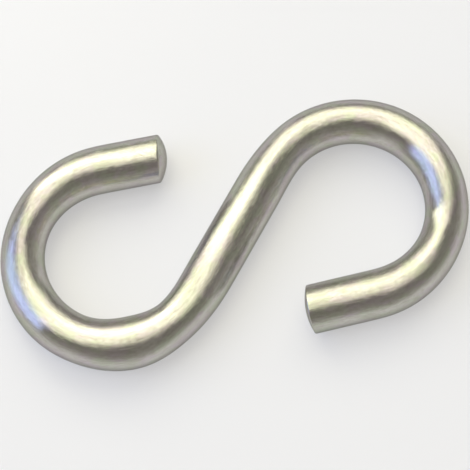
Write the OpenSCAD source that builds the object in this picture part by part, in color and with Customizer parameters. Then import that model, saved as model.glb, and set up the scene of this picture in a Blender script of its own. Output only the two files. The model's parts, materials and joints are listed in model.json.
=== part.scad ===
// S hook bent cold from one length of round bar.
// A straight shank joins two open eyes that face opposite ways, and each eye runs on into a
// short straight tail with a crowned end. The hook lies flat on Z = 0. X is the load line
// through the centres of both eyes, and the middle of the shank is over the origin.

/* [Bar] */
// Diameter of the round bar
wire_d = 6; // [4:0.5:7]
// Height of the crown that stands on each cut end
crown_h = 0.9; // [0.4:0.05:1.5]

/* [Shank] */
// Straight length between the two bends
shank_len = 11.2; // [8:0.2:16]

/* [Bends] */
// Radius of both bends at the middle of the bar
bend_r = 11.2; // [10:0.1:14]
// Length of bar over which each bend takes up its curve, from the shank
lead_in = 8; // [4:0.5:12]
// Length of bar over which each bend lets go of its curve, up to the tail
lead_out = 2.6; // [1:0.2:5]
// Degrees that the bar turns round the right-hand eye
right_turn = 228; // [200:0.5:235]
// Degrees that the bar turns round the left-hand eye
left_turn = 230.5; // [200:0.5:235]

/* [Tails] */
// Straight length of the right-hand tail, up to the rim of its crown
right_tail = 6.9; // [4:0.1:8]
// Straight length of the left-hand tail, up to the rim of its crown
left_tail = 6.2; // [4:0.1:8]

/* [Pressing] */
// Thickness across the right-hand bend at four places from shank to tail, as shares of the bar
right_press = [0.91, 0.91, 0.92, 0.88]; // [0.85:0.01:1.1]
// Thickness across the left-hand bend at four places from shank to tail, as shares of the bar
left_press = [0.93, 1.08, 0.97, 0.88]; // [0.85:0.01:1.1]

/* [Smoothness] */
// Sides of the section that is carried round a bend
section_sides = 40; // [24:4:48]
// Steps in which that section goes round one bend
bend_steps = 44; // [30:2:56]

/* [Hidden] */
$fn = 64;
bar_r = wire_d / 2;
// Degrees that the bar turns in each millimetre of a bend, between its lead-in and lead-out
turn_rate = 180 / (PI * bend_r);
// Radius of the ball whose cap stands crown_h high on the end of the bar
crown_r = (bar_r * bar_r + crown_h * crown_h) / (2 * crown_h);
// Shares of a bend's length at which its four press values stand
press_at = [0.15, 0.27, 0.42, 0.75];
// Length of bar behind the crown's rim that is made together with the crown
collar = wire_d / 4;
// Each bend reaches this far into the straights at its ends, a hair under their skin
lap = 0.5;
skin = 0.01;

// Slow start and slow end between 0 and 1
function eased(t) = t * t * (3 - 2 * t);

// Share of the bar's thickness that is left at a share t of a bend: all of it at both ends,
// and eased from each value of the press list to the next
function pressed(press, t) =
    let (
        places = concat([0], press_at, [1]),
        shares = concat([1], press, [1]),
        i = max([for (k = [0:len(press)]) if (t >= places[k]) k])
    )
    shares[i] + (shares[i + 1] - shares[i]) * eased((t - places[i]) / (places[i + 1] - places[i]));

// Unit step along a heading
function aim(heading) = [cos(heading), sin(heading)];

// Length of bar in a bend
function bend_len(turn) = turn / turn_rate + (lead_in + lead_out) / 2;

// Degrees that a bend has turned after a length s of it: the rate grows evenly over the
// lead-in, holds, and falls away evenly over the lead-out
function turned(turn, s) =
    let (
        taken = s < lead_in ? s * s / lead_in / 2 : s - lead_in / 2,
        past = max(0, s - bend_len(turn) + lead_out)
    )
    turn_rate * (taken - past * past / lead_out / 2);

// Middle line of a bend that leaves the origin along X and turns clockwise, at even steps:
// each step goes the way that the bar points half way through it
function bend_line(turn) =
    let (step = bend_len(turn) / bend_steps)
    [
        for (
            i = 0, at = [0, 0];
            i <= bend_steps;
            at = at + step * aim(-turned(turn, (i + 0.5) * step)), i = i + 1
        ) at
    ];

// Middle of the eye inside a bend, found square to the bar from half way round
function eye_middle(turn) =
    bend_line(turn)[bend_steps / 2] + bend_r * aim(-turned(turn, bend_len(turn) / 2) - 90);

// Oval section round a point of the middle line, square to a heading, whose thickness across
// the bend is a share of the bar's
function section(at, heading, share) = [
    for (j = [0:section_sides - 1])
        let (b = 360 * j / section_sides, across = (bar_r - skin) * share * cos(b))
        concat(at + across * aim(heading + 90), (bar_r - skin) * sin(b))
];

// Sections from just inside the shank, round the bend, to just inside the tail
function bend_sections(turn, press) =
    let (line = bend_line(turn), whole = bend_len(turn))
    concat(
        [section(-lap * aim(0), 0, 1)],
        [
            for (i = [0:bend_steps])
                let (t = i / bend_steps)
                section(line[i], -turned(turn, t * whole), pressed(press, t))
        ],
        [section(line[bend_steps] + lap * aim(-turn), -turn, 1)]
    );

// Skin that joins each ring of points to the next, closed at both ends
module skin_over(rings) {
    n = len(rings[0]);
    last = len(rings) - 1;
    sides = [
        for (k = [0:last - 1], j = [0:n - 1])
            let (a = k * n + j, b = k * n + (j + 1) % n)
            each [[a, b + n, b], [a, a + n, b + n]]
    ];
    start = [for (j = [0:n - 1]) j];
    end = [for (j = [n - 1:-1:0]) last * n + j];
    polyhedron([for (ring = rings) each ring], concat([start, end], sides), convexity = 6);
}

// A bend that leaves the origin along X and turns clockwise
module bend(turn, press) {
    skin_over(bend_sections(turn, press));
}

// Round bar along X, with its middle at the origin
module shank() {
    rotate([0, 90, 0]) cylinder(d = wire_d, h = shank_len, center = true);
}

// End of the bar rounded over by a ball: it points along X, with the crown's rim at the origin
module crowned_end() {
    rotate([0, 90, 0]) intersection() {
        translate([0, 0, -collar]) cylinder(d = wire_d, h = collar + crown_h);
        translate([0, 0, crown_h - crown_r]) sphere(r = crown_r);
    }
}

// Straight bar along X from the origin, with its crowned end
module tail(length) {
    rotate([0, 90, 0]) cylinder(d = wire_d, h = length - collar / 2);
    translate([length, 0, 0]) crowned_end();
}

// One open eye: the bend and the tail that follow the end of the shank at +X
module eye(turn, press, tail_len) {
    translate([shank_len / 2, 0, 0]) {
        bend(turn, press);
        translate(bend_line(turn)[bend_steps]) rotate([0, 0, -turn]) tail(tail_len);
    }
}

// The whole hook, in one piece of bar, turned until the middles of both eyes lie along X
module hook() {
    eye_at = [shank_len / 2, 0] + eye_middle(right_turn);
    color([0.7, 0.68, 0.64])
        translate([0, 0, bar_r])
            rotate([0, 0, -atan2(eye_at.y, eye_at.x)]) {
                shank();
                eye(right_turn, right_press, right_tail);
                rotate([0, 0, 180]) eye(left_turn, left_press, left_tail);
            }
}

hook();
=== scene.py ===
# S hook bent cold from one length of round bar: its finish, its light and its view.
# It lies flat on the floor, with its load line along X.
import json

import bpy
import numpy as np
from mathutils import Matrix, Vector


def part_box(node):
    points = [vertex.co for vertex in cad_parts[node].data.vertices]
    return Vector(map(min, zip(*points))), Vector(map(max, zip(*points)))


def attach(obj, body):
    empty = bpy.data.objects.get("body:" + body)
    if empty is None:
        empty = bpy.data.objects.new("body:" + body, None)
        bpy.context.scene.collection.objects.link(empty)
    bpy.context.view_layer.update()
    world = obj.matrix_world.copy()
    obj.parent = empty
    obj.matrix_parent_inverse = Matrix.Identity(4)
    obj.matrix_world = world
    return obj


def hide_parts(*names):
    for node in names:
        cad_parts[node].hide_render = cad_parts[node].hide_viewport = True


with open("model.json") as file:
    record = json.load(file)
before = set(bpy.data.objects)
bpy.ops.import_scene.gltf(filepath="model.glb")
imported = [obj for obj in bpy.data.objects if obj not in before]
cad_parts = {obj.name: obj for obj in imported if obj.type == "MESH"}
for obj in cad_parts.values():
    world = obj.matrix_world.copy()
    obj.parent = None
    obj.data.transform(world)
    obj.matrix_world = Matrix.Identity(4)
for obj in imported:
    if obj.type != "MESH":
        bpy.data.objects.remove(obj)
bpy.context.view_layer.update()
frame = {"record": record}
hookLow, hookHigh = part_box("hook")
barRadius = (hookHigh.z - hookLow.z) / 2
mounts = {mount["name"]: mount for mount in frame["record"]["mounts"]}
print("frame loaded, bar", round(barRadius * 2000, 2), "mm thick")


# The bar and the way it is bent, in metres and degrees, left side first
bar = {
    "shank": 0.0112,            # straight length between the bends
    "bendRadius": 0.0112,       # to the middle of the bar
    "leadIn": 0.008,            # over which a bend takes up its curve, from the shank
    "leadOut": 0.0026,          # and lets go of it, up to the tail
    "turn": (230.5, 228.0),     # degrees round each eye
    "tail": [mounts[side + "_tail"]["dims"]["length_mm"] / 1000 for side in ("left", "right")],
    "press": ((0.93, 1.08, 0.97, 0.88), (0.91, 0.91, 0.92, 0.88)),   # thickness across each bend
    "pressAt": (0.15, 0.27, 0.42, 0.75),    # where, as shares of the bend's length
    "inset": 0.993,             # share of the radius drawn, to stay inside the solid's facets
    "crown": (0.00095, 0.0006),     # height of each rounded end above its rim
    "cutLean": (0.0, 9.0),      # degrees by which each end was cropped out of square, longer on top
    "cutSkew": (7.5, 4.5),      # and longer on the outside of the eye
    "leanOver": 0.003,          # of the tail, over which the drawn lines follow that crop
    "rim": (0.00035, 0.0002),   # radius of the worn edge round each end
    "around": 128,              # points round the bar
    "ringGap": 0.0002,          # between rings along the bar
    "rimRings": 6,
    "crownRings": 14,
    "eyeSteps": 400,            # along the half bend that finds an eye's middle
}


# eased(t) = t squared times (3 - 2t), a slow start and a slow end between 0 and 1
def eased(t):
    return t * t * (3 - 2 * t)


# pressed(t) is 1 at both ends of a bend and eased from each press value to the next
def pressed(press, t):
    shares = np.array([1, *press, 1])
    places = np.array([0, *bar["pressAt"], 1])
    first = np.clip(np.searchsorted(places, t, "right") - 1, 0, len(places) - 2)
    within = (t - places[first]) / (places[first + 1] - places[first])
    return shares[first] + (shares[first + 1] - shares[first]) * eased(np.clip(within, 0, 1))


# bendLength(turn) = radius times turn, and half of the lead-in and of the lead-out
def bendLength(turn):
    return bar["bendRadius"] * np.radians(turn) + (bar["leadIn"] + bar["leadOut"]) / 2


# turned(u) is how far the bar has turned u metres past the shank: the curvature grows evenly
# from 0 to 1 / R over the lead-in, and falls evenly back to 0 over the lead-out, so
#   R turned = u * u / 2 leadIn, then u - leadIn / 2, less past * past / 2 leadOut at the end
def turned(u, length):
    u = np.clip(u, 0, length)
    taken = np.where(u < bar["leadIn"], u * u / bar["leadIn"] / 2, u - bar["leadIn"] / 2)
    past = np.maximum(u - length + bar["leadOut"], 0)
    return (taken - past * past / bar["leadOut"] / 2) / bar["bendRadius"]


# halfLine(s, side) is the middle line as complex numbers, from the middle of the shank out to
# each s: the sum of the steps, each along exp(-i turned) half way through it
def halfLine(s, side):
    length = bendLength(bar["turn"][side])
    u = s - bar["shank"] / 2
    middle = np.diff(s, prepend=0) / 2
    line = np.cumsum(2 * middle * np.exp(-1j * turned(u - middle, length)))
    return line, turned(u, length), pressed(bar["press"][side], u / length)


# eyeMiddle() lies R to the right of the bar, half way round the right-hand bend
def eyeMiddle():
    toHalf = (bar["shank"] + bendLength(bar["turn"][1])) / 2
    line, turn, _ = halfLine(np.linspace(0, toHalf, bar["eyeSteps"]), 1)
    return line[-1] - 1j * bar["bendRadius"] * np.exp(-1j * turn[-1])


# barLine(s) joins both halves, the left one turned half round, and turns them until the eyes'
# middles lie along X: it gives the line, the way across the bar and the bar's thickness there
def barLine(s):
    line, turn, share = np.empty(len(s), complex), np.empty(len(s)), np.empty(len(s))
    for side, way in ((0, -1), (1, 1)):
        part = np.flatnonzero(s * way >= 0)[::way]
        line[part], turn[part], share[part] = halfLine(np.abs(s[part]), side)
        line[part] *= way
    level = np.exp(-1j * np.angle(eyeMiddle()))
    return line * level, 1j * np.exp(-1j * turn) * level, share


# endProfile(crown, rim) is the rounded end as radius and advance past the rim. The worn rim is an
# arc that meets the bar's side and the crown's ball, and the crown runs on to its pole
def endProfile(crown, rim):
    ball = (barRadius ** 2 + crown ** 2) / (2 * crown)
    toBall = ball - crown
    rimBack = np.sqrt((ball - rim) ** 2 - (barRadius - rim) ** 2) - toBall
    meet = np.arcsin((barRadius - rim) / (ball - rim))
    b = np.linspace(np.pi / 2, meet, bar["rimRings"])
    c = np.linspace(meet, 0, bar["crownRings"] + 1)[1:]
    radius = np.r_[barRadius - rim + rim * np.sin(b), ball * np.sin(c)]
    advance = np.r_[rimBack + rim * np.cos(b), ball * np.cos(c) - toBall]
    return radius, advance


# halfLengths() are from the middle of the shank to the rims: half the shank, a bend and a tail
def halfLengths():
    return [bar["shank"] / 2 + bendLength(turn) + tail for turn, tail in zip(bar["turn"], bar["tail"])]


# nearEnd(s) rises from 0 to 1 over the last of each tail, for the left end and for the right
def nearEnd(s):
    left, right = halfLengths()
    return [eased(np.clip(past / bar["leanOver"] + 1, 0, 1)) for past in (-left - s, s - right)]


# hookMesh() puts ring i and point j at line(s_i) + across * w + up * h + ahead * (lean_i h + skew_i w)
# where w = share_i r_i cos b_j, h = r_i sin b_j and b runs from 0 to 2 pi, and it keeps in barPlace
# where each point was while the bar was straight
def hookMesh():
    (leftRadius, leftAdvance), (rightRadius, rightAdvance) = map(endProfile, bar["crown"], bar["rim"])
    left, right = halfLengths()
    count = int((left + right) / bar["ringGap"])
    between = np.linspace(-left - leftAdvance[0], right + rightAdvance[0], count)
    s = np.r_[-left - leftAdvance[:0:-1], between, right + rightAdvance[1:]]
    r = np.r_[leftRadius[:0:-1], np.full(count, barRadius), rightRadius[1:]] * bar["inset"]
    atLeft, atRight = nearEnd(s)
    leftLean, rightLean = np.tan(np.radians(bar["cutLean"]))
    leftSkew, rightSkew = np.tan(np.radians(bar["cutSkew"]))
    lean = rightLean * atRight - leftLean * atLeft
    skew = rightSkew * atRight + leftSkew * atLeft
    line, across, share = barLine(s)
    n = bar["around"]
    b = np.arange(n) * 2 * np.pi / n
    up = np.outer(r, np.sin(b))
    wide = np.outer(r * share, np.cos(b))
    ahead = lean[:, None] * up + skew[:, None] * wide
    flat = line[:, None] + across[:, None] * (wide - 1j * ahead)
    points = np.stack([flat.real, flat.imag, up + barRadius], axis=2)
    straight = np.stack([np.broadcast_to(s[:, None], up.shape), np.outer(r, np.cos(b)), up], axis=2)
    rings = len(s) - 2      # the first and last ring are single points, put after the others
    points = np.r_[points[1:-1].reshape(-1, 3), points[[0, -1], 0]]
    straight = np.r_[straight[1:-1].reshape(-1, 3), straight[[0, -1], 0]]
    i, j = np.meshgrid(np.arange(rings - 1) * n, np.arange(n), indexing="ij")
    k = (j + 1) % n
    sides = np.stack([i + j, i + n + j, i + n + k, i + k], axis=2).reshape(-1, 4)
    j, k, last = j[0], k[0], (rings - 1) * n
    startCap = np.stack([np.full(n, rings * n), j, k], axis=1)
    endCap = np.stack([np.full(n, rings * n + 1), last + k, last + j], axis=1)
    mesh = bpy.data.meshes.new("bentBar")
    mesh.from_pydata(points.tolist(), [], sides.tolist() + startCap.tolist() + endCap.tolist())
    mesh.attributes.new("barPlace", "FLOAT_VECTOR", "POINT").data.foreach_set(
        "vector", straight.astype(np.float32).ravel())
    mesh.shade_smooth()
    return mesh


# A socket in a node tree that stands in sums, so (strands - 0.5) * 0.08 adds its own Math nodes
class Socket:
    def __init__(self, tree, out=None):
        self.tree, self.out = tree, out

    # any node: its type, its settings, then values or links for its sockets
    def node(self, kind, settings, sockets, out=0):
        made = self.tree.nodes.new("ShaderNode" + kind)
        for name, value in settings.items():
            setattr(made, name, value)
        for name, value in sockets.items():
            if isinstance(value, Socket):
                self.tree.links.new(value.out, made.inputs[name])
            else:
                made.inputs[name].default_value = value
        return Socket(self.tree, made.outputs[out] if made.outputs else None)

    def math(self, operation, a, b):
        return self.node("Math", {"operation": operation}, {0: a, 1: b})

    def __add__(self, other):
        return self.math("ADD", self, other)

    def __sub__(self, other):
        return self.math("SUBTRACT", self, other)

    def __mul__(self, other):
        return self.math("MULTIPLY", self, other)

    def __rsub__(self, other):
        return self.math("SUBTRACT", other, self)

    __radd__, __rmul__ = __add__, __mul__

    def noise(self, place, stretch, detail=2.0):
        scaled = self.node("VectorMath", {"operation": "MULTIPLY"}, {0: place, 1: stretch})
        return self.node("TexNoise", {}, {"Vector": scaled, "Scale": 1.0, "Detail": detail})

    def blend(self, share, a, b):
        return self.node("Mix", {"data_type": "RGBA"}, {"Factor": share, 6: a, 7: b}, 2)

    def step(self, value, low, high):
        return self.node("MapRange", {"interpolation_type": "SMOOTHSTEP"},
                         {"Value": value, "From Min": low, "From Max": high})


def newMaterial(name):
    material = bpy.data.materials.new(name)
    material.use_nodes = True
    material.node_tree.nodes.clear()
    return material, Socket(material.node_tree)


# Stainless bar as it comes from the bender: satin, with fine lines along it that spread the light
# across the bar. Each pattern's size is in waves per metre along the bar, across it and up
steel = {
    "grey": (0.54, 0.53, 0.49, 1),
    "olive": (0.49, 0.51, 0.43, 1),
    "violet": (0.52, 0.48, 0.49, 1),
    "brown": (0.4, 0.37, 0.33, 1),
    "edge": (0.5, 0.5, 0.49, 1),    # the dull skin darkens a little at grazing angles
    "roughness": 0.12,
    "streaky": 0.08,                # change of roughness from strand to strand
    "patchy": 0.05,                 # and from patch to patch
    "endRoughness": 0.12,           # added on the cropped and rounded ends
    "strandMarks": 0.25,            # share of brown in the deepest strands
    "hairMarks": 0.3,               # and in the deepest hairs
    "lines": (500, 50000, 50000),
    "hairs": (2000, 3800, 3800),
    "strands": (350, 1700, 1700),
    "waves": (250, 850, 850),
    "patches": (350, 520, 520),
    "lineDetail": 1.0,              # octaves in the noise of the lines
    "hairDetail": 3.0,              # and of the hairs
    "hairTurn": (0.4, 0.65),        # noise between which the hairs turn brown
    "strandTurn": (0.45, 0.7),
    "waveTurn": (0.42, 0.66),       # between which the tint turns to grey
    "patchTurn": (0.4, 0.6),        # and from olive to violet
    "lineDepth": 0.0000085,         # metres that the surface rises from 0 to 1 in the pattern
    "hairDepth": 0.0000015,
    "strandDepth": 0.000003,
    "waveDepth": 0.000006,
}


def steelMaterial():
    material, make = newMaterial("satinSteel")
    place = make.node("Attribute", {"attribute_name": "barPlace"}, {}, 1)
    along = make.node("SeparateXYZ", {}, {"Vector": place})
    lines = make.noise(place, steel["lines"], steel["lineDetail"])
    hairs = make.noise(place, steel["hairs"], steel["hairDetail"])
    strands = make.noise(place, steel["strands"])
    waves = make.noise(place, steel["waves"])
    patches = make.noise(place, steel["patches"])
    tint = make.blend(make.step(patches, *steel["patchTurn"]), steel["olive"], steel["violet"])
    tint = make.blend(make.step(waves, *steel["waveTurn"]), tint, steel["grey"])
    marks = make.step(strands, *steel["strandTurn"]) * steel["strandMarks"]
    marks = marks + make.step(hairs, *steel["hairTurn"]) * steel["hairMarks"]
    tint = make.blend(marks, tint, steel["brown"])
    left, right = halfLengths()
    leftRim, rightRim = bar["rim"]
    atEnd = make.step(along, right, right + rightRim) + make.step(along, -left, -left - leftRim)
    rough = steel["roughness"] + (strands - 0.5) * steel["streaky"] + (patches - 0.5) * steel["patchy"]
    rough = rough + atEnd * steel["endRoughness"]
    bump = make.node("Bump", {}, {"Height": lines, "Distance": steel["lineDepth"]})
    for height, depth in ((hairs, "hairDepth"), (strands, "strandDepth"), (waves, "waveDepth")):
        bump = make.node("Bump", {}, {"Height": height, "Distance": steel[depth], "Normal": bump})
    shader = make.node("BsdfPrincipled", {}, {
        "Base Color": tint, "Metallic": 1.0, "Specular Tint": steel["edge"],
        "Roughness": rough, "Normal": bump})
    make.node("OutputMaterial", {}, {"Surface": shader})
    return material


hook = bpy.data.objects.new("bentHook", hookMesh())
bpy.context.scene.collection.objects.link(hook)
hook.data.materials.append(steelMaterial())
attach(hook, "root")
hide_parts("hook")
print("hook made:", len(hook.data.polygons), "faces")


floorPlan = {
    "size": 6.0,
    "colour": (0.5, 0.5, 0.53, 1),
    "lift": 0.39,       # how much of the floor's white is its own
    "seenBy": ("Is Camera Ray", "Is Glossy Ray", "Is Transmission Ray"),    # rays that see the lift
}


def floorMaterial():
    material, make = newMaterial("paleFloor")
    diffuse = make.node("BsdfDiffuse", {}, {"Color": floorPlan["colour"]})
    glow = make.node("Emission", {}, {"Color": (1, 1, 1, 1), "Strength": floorPlan["lift"]})
    camera, glossy, through = (make.node("LightPath", {}, {}, ray) for ray in floorPlan["seenBy"])
    seen = camera + glossy + through
    lit = make.node("AddShader", {}, {0: diffuse, 1: glow})
    sheet = make.node("MixShader", {}, {0: seen, 1: diffuse, 2: lit})
    make.node("OutputMaterial", {}, {"Surface": sheet})
    return material


half = floorPlan["size"] / 2
floorMesh = bpy.data.meshes.new("floorSheet")
corners = [(-half, -half, 0), (half, -half, 0), (half, half, 0), (-half, half, 0)]
floorMesh.from_pydata(corners, [], [(0, 1, 2, 3)])
floor = bpy.data.objects.new("paleFloor", floorMesh)
bpy.context.scene.collection.objects.link(floor)
floor.data.materials.append(floorMaterial())

# Each lamp: bearing anticlockwise from +X, lean off the vertical, distance, width and height
# as half angles seen from the hook, spin about its own axis, and radiance
lamps = {
    "rearSoftbox": {"bearing": 81.5, "lean": 42.9, "away": 1.33, "half": (30.8, 20.1), "spin": -9.5,
                    "radiance": (1.9, 1.86, 1.46)},
    "frontSoftbox": {"bearing": 53.2, "lean": 9.1, "away": 0.53, "half": (8.1, 25.8), "spin": 62.0,
                     "radiance": (1.6, 1.56, 1.24)},
    "leftSoftbox": {"bearing": 173.3, "lean": 16.8, "away": 2.0, "half": (12.7, 16.1), "spin": -117.1,
                    "radiance": (1.75, 1.71, 1.36)},
    "sideSoftbox": {"bearing": 122.8, "lean": 48.6, "away": 0.089, "half": (4.4, 24.3), "spin": 19.5,
                    "radiance": (2.6, 2.54, 2.0)},
    "sideWindow": {"bearing": 170, "lean": 59, "away": 1.2, "half": (23.0, 25.0), "spin": 26.8,
                   "radiance": (0.7, 0.88, 1.6)},
}


def addLamp(name, plan):
    bearing, lean = np.radians((plan["bearing"], plan["lean"]))
    away = Vector((np.cos(bearing) * np.sin(lean), np.sin(bearing) * np.sin(lean), np.cos(lean)))
    sideways = Vector((-np.sin(bearing), np.cos(bearing), 0))
    upward = away.cross(sideways)
    light = bpy.data.lights.new(name, "AREA")
    light.shape = "RECTANGLE"
    width, height = (2 * plan["away"] * np.tan(np.radians(h)) for h in plan["half"])
    light.size, light.size_y = width, height
    light.color = [c / max(plan["radiance"]) for c in plan["radiance"]]
    light.energy = max(plan["radiance"]) * width * height * np.pi
    lamp = bpy.data.objects.new(name, light)
    aimed = Matrix((sideways, upward, away)).transposed()
    spun = aimed @ Matrix.Rotation(np.radians(plan["spin"]), 3, "Z")
    lamp.matrix_world = Matrix.Translation(away * plan["away"]) @ spun.to_4x4()
    lamp.visible_camera = False
    bpy.context.scene.collection.objects.link(lamp)


for name, plan in lamps.items():
    addLamp(name, plan)

room = {
    "low": (0.54, 0.53, 0.49, 1),       # the grey room near the floor
    "high": (0.3, 0.285, 0.26, 1),      # and overhead
    "turn": (0.0, 0.6),                 # cosines of the lean between which the grey turns
}


def addRoom():
    world = bpy.data.worlds.new("greyRoom")
    world.use_nodes = True
    world.node_tree.nodes.clear()
    make = Socket(world.node_tree)
    rise = make.node("SeparateXYZ", {}, {"Vector": make.node("TexCoord", {}, {})}, 2)
    grey = make.blend(make.step(rise, *room["turn"]), room["low"], room["high"])
    make.node("OutputWorld", {}, {"Surface": make.node("Background", {}, {"Color": grey})})
    bpy.context.scene.world = world


addRoom()

view = {
    "away": 0.2,
    "bearing": -92.67,      # of the camera, anticlockwise from +X
    "rise": 72.43,          # above the floor
    "roll": -8.69,
    "lens": 125.76,
    "sensor": 36,           # width in millimetres
    "nearest": 0.01,        # where the view begins, in front of the lens
    "offset": (0.000063, -0.000446),    # of the frame's middle from the hook's, across and up
}


def addCamera():
    bearing, rise = np.radians((view["bearing"], view["rise"]))
    back = Vector((np.cos(bearing) * np.cos(rise), np.sin(bearing) * np.cos(rise), np.sin(rise)))
    right = Vector((-np.sin(bearing), np.cos(bearing), 0))
    aimed = Matrix((right, back.cross(right), back)).transposed()
    rolled = aimed @ Matrix.Rotation(np.radians(view["roll"]), 3, "Z")
    data = bpy.data.cameras.new("viewCamera")
    data.lens = view["lens"]
    data.sensor_width = view["sensor"]
    data.clip_start = view["nearest"]
    camera = bpy.data.objects.new("viewCamera", data)
    place = Vector((0, 0, barRadius)) + rolled @ Vector((*view["offset"], view["away"]))
    camera.matrix_world = Matrix.Translation(place) @ rolled.to_4x4()
    bpy.context.scene.collection.objects.link(camera)
    bpy.context.scene.camera = camera


addCamera()
bpy.context.scene.view_settings.view_transform = "Standard"
print("lamps, room and camera set")
